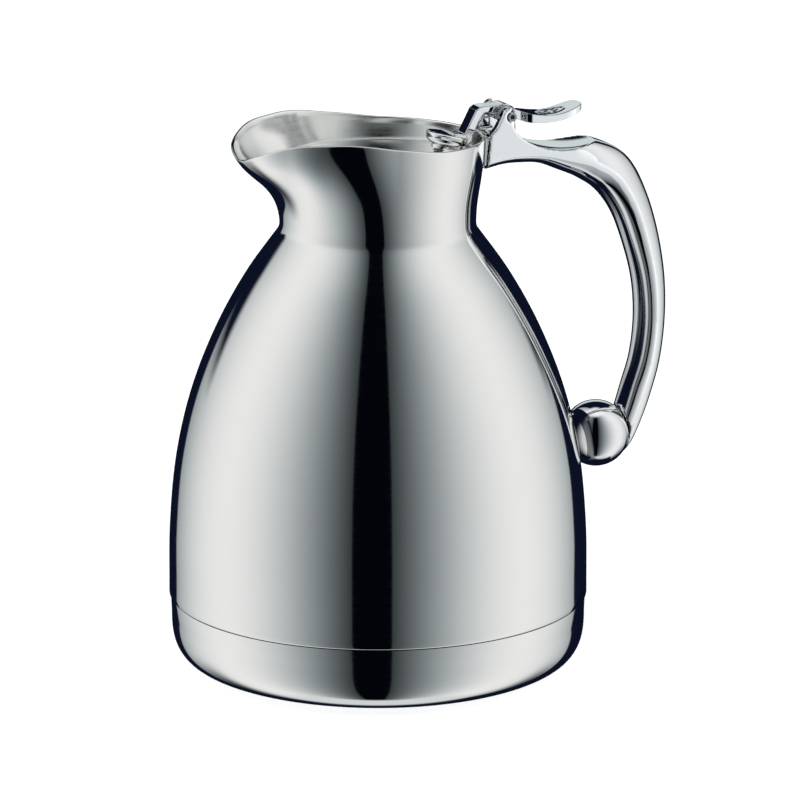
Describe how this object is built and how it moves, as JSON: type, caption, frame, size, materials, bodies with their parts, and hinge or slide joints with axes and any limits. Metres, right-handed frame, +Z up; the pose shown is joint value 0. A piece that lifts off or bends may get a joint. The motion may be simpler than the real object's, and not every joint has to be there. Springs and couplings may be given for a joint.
{
  "type": "insulated jug",
  "caption": "Bell-shaped polished steel vacuum jug with a wide pouring lip, a thumb-lever lid in the neck, and a cast handle standing off the body on a ball.",
  "frame": {"origin": "centre of the foot pad's underside, on the bell's axis", "axes": "+Z up along the bell's axis, -X towards the pouring lip, +X towards the handle"},
  "size_m": [0.1623, 0.1312, 0.1747],
  "materials": {
    "polished_steel": "mirror polished stainless steel",
    "chromed_casting": "bright chrome plate on a zinc casting",
    "flask_steel": "drawn stainless steel, electropolished",
    "spring_steel": "plain stainless wire and screws",
    "black_plastic": "fine moulded polypropylene",
    "grey_silicone": "matt moulded silicone",
    "black_rubber": "matt rubber"
  },
  "bodies": {
    "jug": {"bell_shell": "polished_steel", "neck_lip": "polished_steel", "base_cup": "polished_steel", "base_insert": "black_plastic", "foot_pad": "black_rubber", "flask_cushion": "grey_silicone", "flask_jacket": "flask_steel", "flask_liner": "flask_steel", "evacuation_cap": "flask_steel", "mouth_seal": "grey_silicone", "neck_bracket": "polished_steel", "handle": "chromed_casting", "handle_screw_1": "spring_steel", "handle_screw_2": "spring_steel", "handle_ball": "chromed_casting", "ball_screw": "spring_steel", "ball_washer": "spring_steel", "hinge_pin": "spring_steel", "hinge_spring": "spring_steel"},
    "lid": {"lid_lever": "chromed_casting", "lid_cover": "polished_steel", "lid_core": "black_plastic", "lid_seal": "grey_silicone", "lid_screw": "spring_steel", "lid_washer": "spring_steel"}
  },
  "joints": [
    {"name": "lid_hinge", "type": "hinge", "parent": "jug", "child": "lid", "pos_m": [0.041, 0, 0.1715], "axis": [0, 1, 0], "range_deg": [0, 22], "stiffness_Nm_per_rad": 0.02, "springref_deg": -17.19, "deforming": ["hinge_spring"]}
  ]
}
